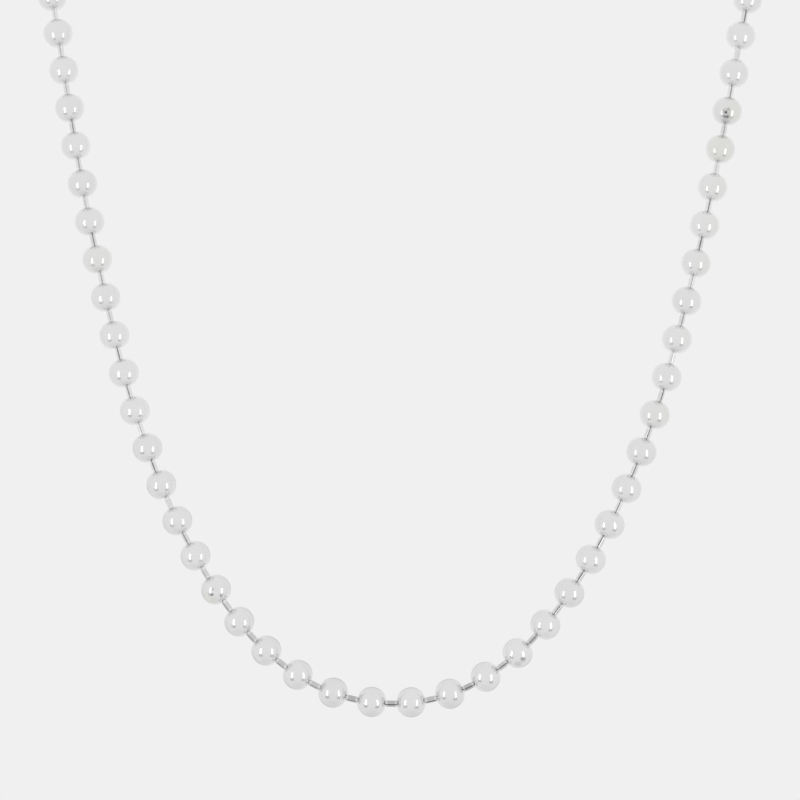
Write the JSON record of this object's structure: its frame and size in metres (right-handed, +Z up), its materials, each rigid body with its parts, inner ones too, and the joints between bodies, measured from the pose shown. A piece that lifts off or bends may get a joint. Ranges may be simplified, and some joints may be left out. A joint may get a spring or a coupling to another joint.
{
  "type": "ball chain necklace",
  "caption": "Polished silver ball chain necklace: hollow balls joined by short headed pins in one loop, closed by a slotted sleeve at the nape.",
  "frame": {"origin": "middle of the neck hollow, at the height where the chain passes the sides of the neck", "axes": "+Z up as worn; the front drop faces -Y, the nape and its clasp are at +Y, and +X is to the right in a view from the front"},
  "size_m": [0.1078, 0.1043, 0.1543],
  "materials": {
    "balls": "polished silver, faintly tarnished in the holes",
    "pins": "polished silver wire",
    "clasp": "polished silver"
  },
  "bodies": {
    "root": {"ball_beads": "balls", "link_pins": "pins", "clasp_sleeve": "clasp"}
  },
  "joints": []
}
